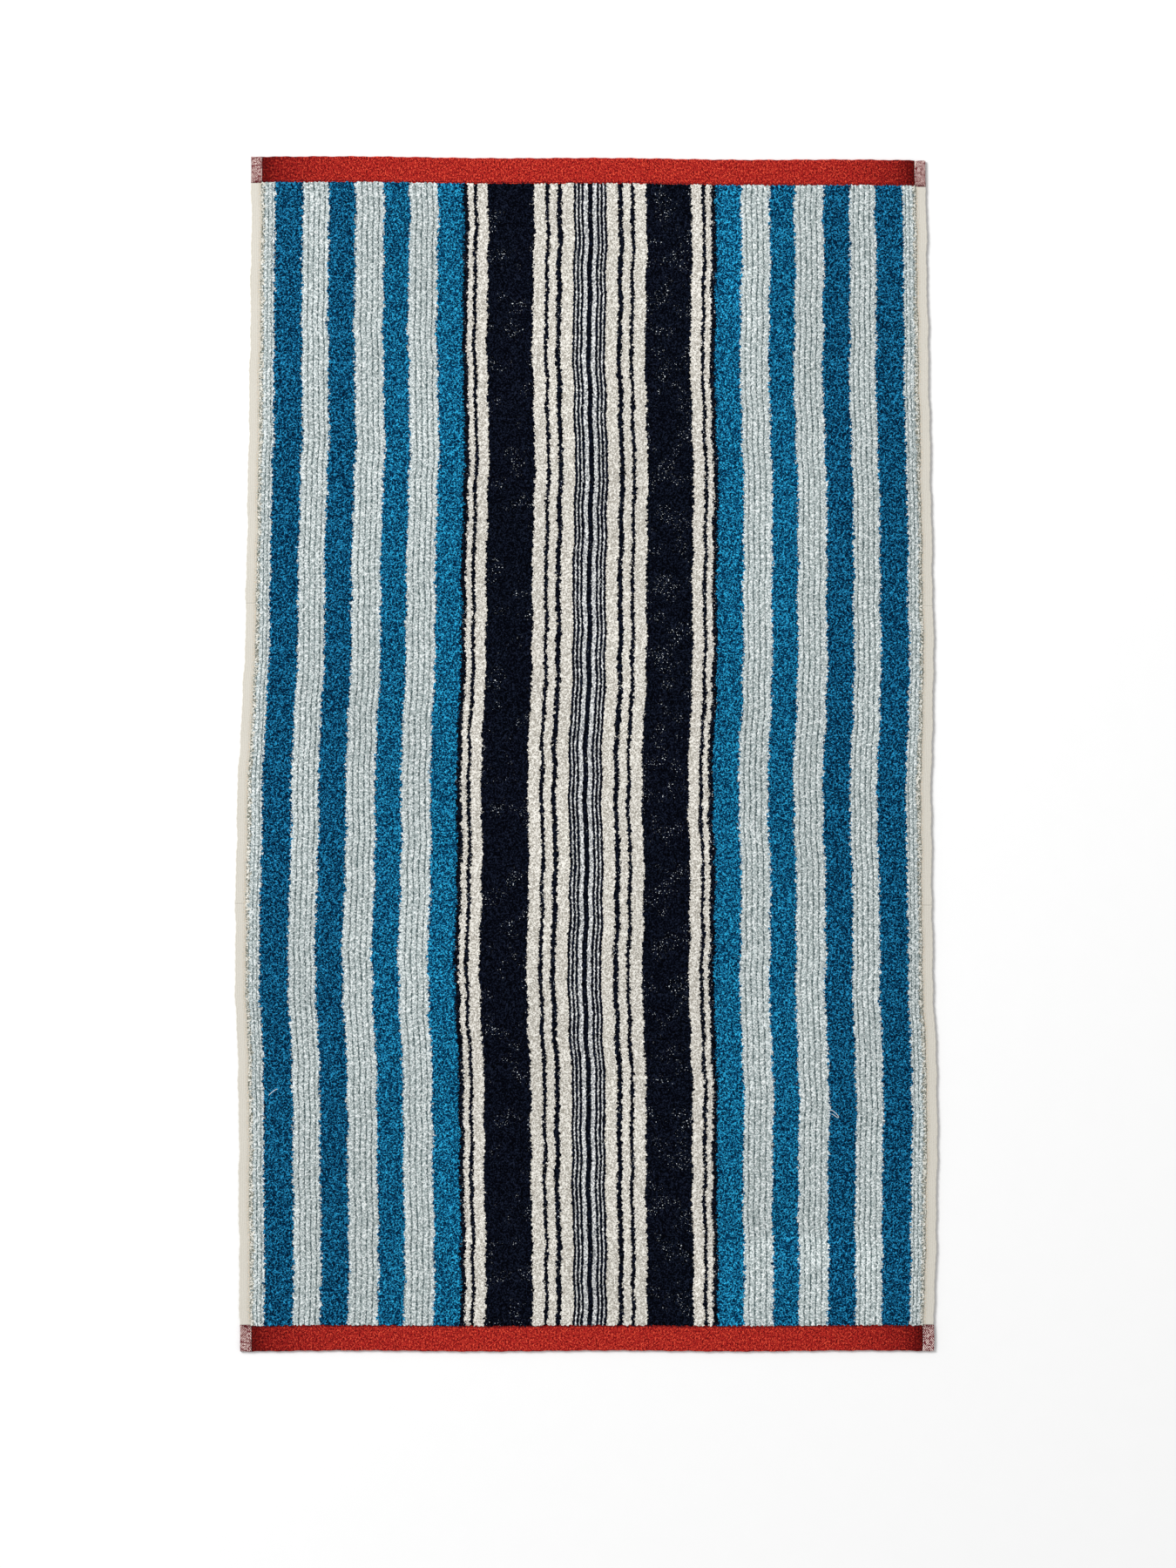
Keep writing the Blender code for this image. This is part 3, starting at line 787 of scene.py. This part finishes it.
def hem_outline():
    """The turned strip's outline, as its distance outwards from the inner edge and its height."""
    pitch = (HEM_HIGH.z - HEM_LOW.z - HEM_LAYER) / 2
    face_z = HEM_HIGH.z - HEM_LAYER / 2
    depth = HEM_HIGH.y - HEM_LOW.y
    outer = depth - pitch - HEM_LAYER / 2
    inner = pitch / 2 + HEM_LAYER / 2
    run = np.linspace(0, outer, 34)
    turn = np.linspace(0, np.pi, 11)[1:]
    line = [np.stack([run, np.full(len(run), face_z)], -1)]
    line.append(np.stack([outer + pitch * np.sin(turn), face_z - pitch * (1 - np.cos(turn))], -1))
    back = np.linspace(outer, inner, 9)[1:]
    line.append(np.stack([back, np.full(len(back), face_z - 2 * pitch)], -1))
    tuck = np.linspace(0, np.pi, 9)[1:]
    tuck_z = face_z - 2 * pitch + pitch / 2 * (1 - np.cos(tuck))
    line.append(np.stack([inner - pitch / 2 * np.sin(tuck), tuck_z], -1))
    tucked = np.linspace(inner, inner + HEM_TURN_IN, 7)[1:]
    line.append(np.stack([tucked, np.full(len(tucked), face_z - pitch)], -1))
    line = np.concatenate(line)
    ahead = np.gradient(line, axis=0)
    ahead = ahead / np.linalg.norm(ahead, axis=1)[:, None]
    left = np.stack([-ahead[:, 1], ahead[:, 0]], -1) * HEM_LAYER / 2
    path = np.concatenate([[0], np.cumsum(np.linalg.norm(np.diff(line, axis=0), axis=1))])
    return np.concatenate([line + left, (line - left)[::-1]]), np.concatenate([path, path[::-1]])


def hem_piece(name, end, x_low, x_high, step, material, near_edge):
    """A length of the turned strip, puckered by its stitches, between two places across the towel.

    near_edge is the place across the towel that the weave's lines are counted from.
    """
    outline, path = hem_outline()
    columns = np.linspace(x_low, x_high, max(3, round((x_high - x_low) / step) + 1))
    across = np.repeat(columns[:, None], len(outline), 1)
    out, z = outline[:, 0][None, :], outline[:, 1][None, :]
    way = SIDE_OF_END[end]
    laid_x, laid_y = lie(across, way * (HEM_LOW.y + out))
    seam = np.exp(-(((HEM_LOW.y + out) - SEAM_Y) / 0.0013) ** 2)
    stitch = 0.5 + 0.5 * np.cos(across * 2000 * np.pi / STITCH_MM)
    pull = STITCH_PULL * seam * (0.4 + 0.6 * stitch) * np.sign(z - (HEM_LOW.z + HEM_HIGH.z) / 2)
    arch = np.sin(np.pi * np.clip(out / HEM_FACE, 0, 1))
    puff = HEM_PUFF * np.sin(across / 0.0031 + 3 * np.sin(across / 0.017)) * arch
    swell = puff * (z > HEM_HIGH.z - HEM_LAYER * 0.6)
    edge = 0.00022 * np.sin(across / 0.0057 + way) + 0.00018 * np.sin(across / 0.0021)
    laid_y = laid_y + way * edge * (out / HEM_FACE) ** 3
    rings = np.stack([laid_x, laid_y, np.broadcast_to(z, across.shape) - pull + swell - 0.00005], -1)
    from_edge = np.abs(across - near_edge) * 1000
    round_turns = np.broadcast_to(path[None, :] * 1000, across.shape)
    web_place = np.stack([from_edge, round_turns, across * 1000], -1)
    return closed_sweep(name, rings, material, {"web": web_place}, way > 0)


def end_shade(from_end, wide_mm, wide, close):
    """How much painted shade darkens the band towards one end: a wide soft fade, and a close one at the
    corner.
    """
    wide_fade = from_end.math("EXPONENT", from_end * (-1 / wide_mm)) * wide
    close_fade = from_end.math("EXPONENT", from_end * (-1 / 14)) * close
    return wide_fade + close_fade


def fix_to_end(piece, end, node):
    """Fixes a piece to the quarter at one end of the towel, and hides the solid that it stands for."""
    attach(piece, end + "_quarter")
    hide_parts(node)
    on_section[end].append(piece)


red, red_shader, twill = new_material("red_hem_twill", 0.8, 0.06)
web = twill.attribute("web")
drift = twill.noise(web, 0.10, 2.0)
slant = (web.part("X") * 0.62 + web.part("Y") * 0.78 + drift * 5.0) * (2 * math.pi / TWILL_MM)
twill_line = twill.math("SINE", slant) * 0.5 + 0.5
knot = twill.noise(web, 0.56, 1.0, 0.5)
# Painted shade: the band is drawn darker towards both its ends, in its tone and in its colour.
left_end_shade = end_shade(web.part("Z") + HEM_HALF_MM, 62, 0.30, 0.35)
right_end_shade = end_shade(HEM_HALF_MM - web.part("Z"), 50, 0.28, 0.40)
red_tone = twill_line * 0.36 + knot * 2.0 - left_end_shade * 0.3 - right_end_shade * 0.3
red_shaded = red_tone.between(0.82, 1.24).mix(HEM_DARK, HEM_RED)
red_colour = red_tone.between(1.22, 1.72).mix(red_shaded, HEM_BRIGHT)
twill.feed(red_shader, "Base Color", red_colour.scaled(1 - left_end_shade - right_end_shade))
twill.feed(red_shader, "Normal", (twill_line * 0.7 + knot).bump(0.45, 0.0003))

for end in SIDE_OF_END:
    piece = hem_piece(end + "_turned_hem", end, HEM_LOW.x, HEM_HIGH.x, HEM_COLUMN, red, -HALF_WIDTH)
    fix_to_end(piece, end, end + "_hem_band")

# ---------------------------------------------------------------------------------------------------
# Hem corners. At both ends of each hem the red weft crosses the cream selvedge warp in a herringbone, so
# the band ends in small red and white blocks. They are turned and sewn down as one with the band.
# ---------------------------------------------------------------------------------------------------
CORNER_LINE_MM = 1.5            # from one line of the herringbone to the next
CORNER_SPINE_MM = (6.2, 6.5)    # from the band, where its lines turn back
CORNER_COLUMN = 0.0006
CORNER_DARK = (0.120, 0.005, 0.012)
CORNER_WHITE = (0.84, 0.67, 0.62)

check, check_shader, cross = new_material("red_and_white_herringbone", 0.85, 0.06)
web = cross.attribute("web")
outer_part = web.part("X").between(*CORNER_SPINE_MM)
leaning = web.part("Y") * 0.62 - web.part("X") * 0.80
falling = web.part("Y") * 0.55 + web.part("X") * 0.84
wave = outer_part * leaning + (1 - outer_part) * falling
check_line = cross.math("SINE", wave * (2 * math.pi / CORNER_LINE_MM)) * 0.5 + 0.5
check_knot = cross.noise(web, 0.55, 1.0)
border = (1 - web.part("X").between(0.4, 1.0)) * 0.35
check_tone = (check_line + (check_knot - 0.5) * 2.8 + border).between(0.66, 0.86)
cross.feed(check_shader, "Base Color", check_tone.mix(CORNER_DARK, CORNER_WHITE))
cross.feed(check_shader, "Normal", (check_line + check_knot * 0.6).bump(0.5, 0.0003))

for end in SIDE_OF_END:
    for side_name, side in (("left", -1), ("right", 1)):
        corner_low, corner_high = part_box(f"{end}_hem_corner_{side_name}")
        near_edge = min(abs(corner_low.x), abs(corner_high.x)) * side
        name = f"{end}_turned_corner_{side_name}"
        piece = hem_piece(name, end, corner_low.x, corner_high.x, CORNER_COLUMN, check, near_edge)
        fix_to_end(piece, end, f"{end}_hem_corner_{side_name}")

# ---------------------------------------------------------------------------------------------------
# Seams. Each hem is sewn with a lockstitch in dark red cotton: a needle thread on the face, a bobbin
# thread on the back, and a few short tacking stitches over the hem's inner edge at both selvedges.
# ---------------------------------------------------------------------------------------------------
THREAD_RADIUS = 0.00024
THREAD_SIDES = 6
THREAD_PLY_MM = 0.75            # from one ply to the next along the thread
# The sewing thread's colour as painted shade between its plies and painted highlight on them.
THREAD_TWIST_SHADE = (0.050, 0.0022, 0.0060)
THREAD_TWIST_HIGHLIGHT = (0.175, 0.010, 0.020)
STITCH_POINTS = 8
STITCH_SINK = 0.00022           # how far a stitch's ends sink into the cloth
STITCH_ARCH = 0.00036           # and how far its middle rises from them
TACKS = 5                       # tacking stitches at each selvedge
TACK_POINTS = 7
TACK_RADIUS = THREAD_RADIUS * 1.25


def strands(name, lines, radius, material):
    """Tubes of thread round their centre lines, which all have the same number of points, as one piece."""
    ahead = np.gradient(lines, axis=1)
    ahead = ahead / np.linalg.norm(ahead, axis=2)[:, :, None]
    side = np.cross(ahead, [0.0, 0.0, 1.0])
    side = side / np.linalg.norm(side, axis=2)[:, :, None]
    up = np.cross(side, ahead)
    turn = np.arange(THREAD_SIDES) / THREAD_SIDES * 2 * math.pi
    number, count = lines.shape[:2]
    taper = np.full(count, radius)
    taper[[0, -1]] = radius * 0.55
    around = turn[None, None, :, None]
    ring = np.cos(around) * side[:, :, None, :] + np.sin(around) * up[:, :, None, :]
    points = lines[:, :, None, :] + ring * taper[None, :, None, None]
    index = np.arange(number * count * THREAD_SIDES).reshape(number, count, THREAD_SIDES)
    turned = np.roll(index, -1, axis=2)
    body = np.stack([index[:, :-1], index[:, 1:], turned[:, 1:], turned[:, :-1]], -1).reshape(-1, 4)
    faces = [body, index[:, 0], index[:, -1, ::-1]]
    reach = np.linspace(0, 0.9, number * (count - 1) + 1)
    low = np.repeat(reach[:-1], THREAD_SIDES)
    high = np.repeat(reach[1:], THREAD_SIDES)
    rung = np.tile(np.arange(THREAD_SIDES) / THREAD_SIDES, number * (count - 1))
    block = [(low, rung), (high, rung), (high, rung + 1 / THREAD_SIDES), (low, rung + 1 / THREAD_SIDES)]
    uv = [np.stack([np.stack(pair, -1) for pair in block], 1).reshape(-1, 2)]
    cap = np.stack([0.95 + 0.04 * np.cos(turn), 0.5 + 0.4 * np.sin(turn)], -1)
    uv += [np.tile(cap, (number, 1)), np.tile(cap[::-1], (number, 1))]
    lengths = np.linalg.norm(np.diff(lines, axis=1), axis=2)
    run = np.concatenate([np.zeros((number, 1)), np.cumsum(lengths, 1)], 1)
    twist = np.stack(np.broadcast_arrays(run[:, :, None] * 1000, turn[None, None, :], 0.0), -1)
    return link_mesh(name, points.reshape(-1, 3), faces, material, uv, {"twist": twist.reshape(-1, 3)})


def thread_material(name, twist_shade, twist_highlight, roughness):
    """Two-ply twisted cotton: the plies show as slanting lines round the thread, in painted highlight and
    painted shade.
    """
    material, shader, spun = new_material(name, roughness, 0.05)
    twist = spun.attribute("twist")
    turns = twist.part("X") * (2 * math.pi / THREAD_PLY_MM) + twist.part("Y") * 2.0
    ply = spun.math("SINE", turns) * 0.5 + 0.5
    spun.feed(shader, "Base Color", ply.mix(twist_shade, twist_highlight))
    spun.feed(shader, "Normal", ply.bump(0.5, 0.0001))
    return material


dark_thread = thread_material("dark_red_sewing_thread", THREAD_TWIST_SHADE, THREAD_TWIST_HIGHLIGHT, 0.7)
seam_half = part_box("top_hem_needle_thread")[1].x
stitch_count = round(2 * seam_half * 1000 / STITCH_MM)
for end, way in SIDE_OF_END.items():
    starts = (np.arange(stitch_count) - stitch_count / 2) * STITCH_MM / 1000
    share = np.linspace(0, 1, STITCH_POINTS)
    jitter = 0.00008 * np.random.default_rng(7 + way).standard_normal(stitch_count)
    for kind, surface, facing in (("needle", HEM_HIGH.z, 1), ("bobbin", HEM_LOW.z, -1)):
        run = starts[:, None] + (0.06 + 0.88 * share[None, :]) * STITCH_MM / 1000
        seam_y = way * (SEAM_Y + jitter[:, None] + 0.00012 * np.sin(np.pi * share[None, :]))
        laid_x, laid_y = lie(run, np.broadcast_to(seam_y, run.shape))
        arch = np.clip(np.sin(np.pi * share), 0, 0.75) / 0.75
        height = surface + facing * (-STITCH_SINK + STITCH_ARCH * arch)
        lines = np.stack([laid_x, laid_y, np.broadcast_to(height[None, :], run.shape)], -1)
        piece = strands(f"{end}_{kind}_stitches", lines, THREAD_RADIUS, dark_thread)
        fix_to_end(piece, end, f"{end}_hem_{kind}_thread")
    for side_name, side in (("left", -1), ("right", 1)):
        place = side * (seam_half - 0.0012 - 0.0019 * np.arange(TACKS))
        run = np.linspace(0.0004, -0.0024, TACK_POINTS)
        tack_x = place[:, None] + side * 0.0002 * np.sin(np.arange(TACK_POINTS))[None, :]
        laid_x, laid_y = lie(tack_x, np.broadcast_to(way * (SEAM_Y + run[None, :]), tack_x.shape))
        arch = np.sin(np.linspace(0, np.pi, TACK_POINTS))
        height = HEM_HIGH.z + 0.00005 + 0.0004 * arch
        lines = np.stack([laid_x, laid_y, np.broadcast_to(height[None, :], laid_x.shape)], -1)
        piece = strands(f"{end}_tacking_{side_name}", lines, TACK_RADIUS, dark_thread)
        fix_to_end(piece, end, f"{end}_hem_needle_thread")

# ---------------------------------------------------------------------------------------------------
# Pulled loops. Two white pile ends have snagged and lie on the blue stripes near the towel's lower end:
# one is a single short length of yarn, the other a long narrow loop still joined at both ends.
# ---------------------------------------------------------------------------------------------------
PULLED_RADIUS = 0.00034
# The white yarn's colour as painted shade between its plies and painted highlight on them.
PULLED_TWIST_SHADE = (0.50, 0.53, 0.56)
PULLED_TWIST_HIGHLIGHT = (0.88, 0.90, 0.92)
white_yarn = thread_material("white_pile_yarn", PULLED_TWIST_SHADE, PULLED_TWIST_HIGHLIGHT, 0.9)


def smooth_line(points, count):
    """A smooth curve of count points through a few."""
    knots = np.array(points, float)
    padded = np.concatenate([[2 * knots[0] - knots[1]], knots, [2 * knots[-1] - knots[-2]]])
    where = np.linspace(0, len(knots) - 1, count)
    whole = np.minimum(where.astype(int), len(knots) - 2)
    t = (where - whole)[:, None]
    a, b, c, d = (padded[whole + shift] for shift in range(4))
    bend = (2 * a - 5 * b + 4 * c - d) * t ** 2
    return 0.5 * (2 * b + (c - a) * t + bend + (3 * b - a - 3 * c + d) * t ** 3)


pulled = {
    "pulled_end": [(-0.3192, -0.3440, 0.0046), (-0.3172, -0.3418, 0.0053), (-0.3138, -0.3388, 0.0054),
                   (-0.3104, -0.3367, 0.0053), (-0.3078, -0.3364, 0.0048)],
    "pulled_loop": [(0.2428, -0.3592, 0.0046), (0.2450, -0.3578, 0.0053), (0.2478, -0.3580, 0.0054),
                    (0.2514, -0.3606, 0.0054), (0.2542, -0.3640, 0.0053), (0.2534, -0.3652, 0.0053),
                    (0.2508, -0.3634, 0.0053), (0.2478, -0.3616, 0.0053), (0.2432, -0.3610, 0.0046)],
}
for name, points in pulled.items():
    piece = strands(name, smooth_line(points, 40)[None, :, :], PULLED_RADIUS, white_yarn)
    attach(piece, "bottom_quarter")
    on_section["bottom"].append(piece)

for section, ground in ground_of.items():
    low_y, high_y = SECTIONS[section][:2]
    high_y - low_y
